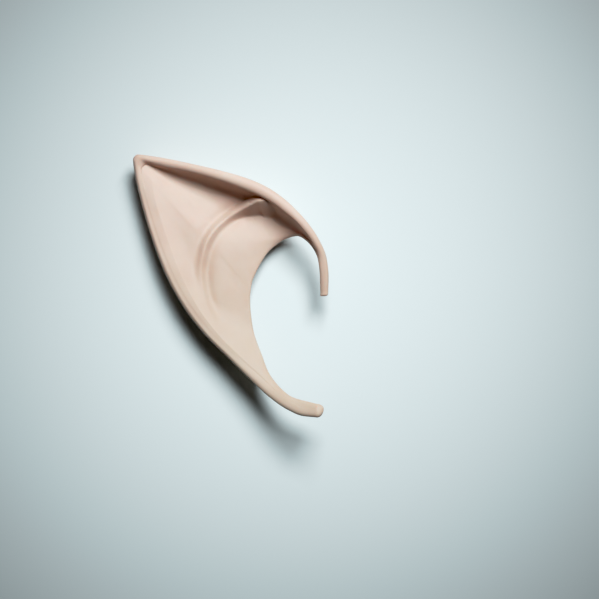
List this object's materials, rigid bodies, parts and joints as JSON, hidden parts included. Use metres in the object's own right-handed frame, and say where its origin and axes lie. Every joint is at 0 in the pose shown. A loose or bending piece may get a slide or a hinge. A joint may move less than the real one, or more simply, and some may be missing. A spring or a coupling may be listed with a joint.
{
  "type": "elf ear tip",
  "caption": "Soft moulded slip-on pointed ear tip: a hollow pocket with rolled rim, curved inner fold, thin hook at the top and a tail at the bottom of its cut-out.",
  "frame": {"origin": "middle of the bounding box in plan, on the face that the ear lies on", "axes": "+Z out of the visible face of the ear, +Y towards the top of the ear, +X from the tip side to the wearer's face"},
  "size_m": [0.062, 0.0826, 0.022],
  "materials": {
    "latex_skin": "soft matt skin-coloured latex with a faint sheen and a fine moulded grain"
  },
  "bodies": {
    "root": {"ear_shell": "latex_skin"}
  },
  "joints": []
}
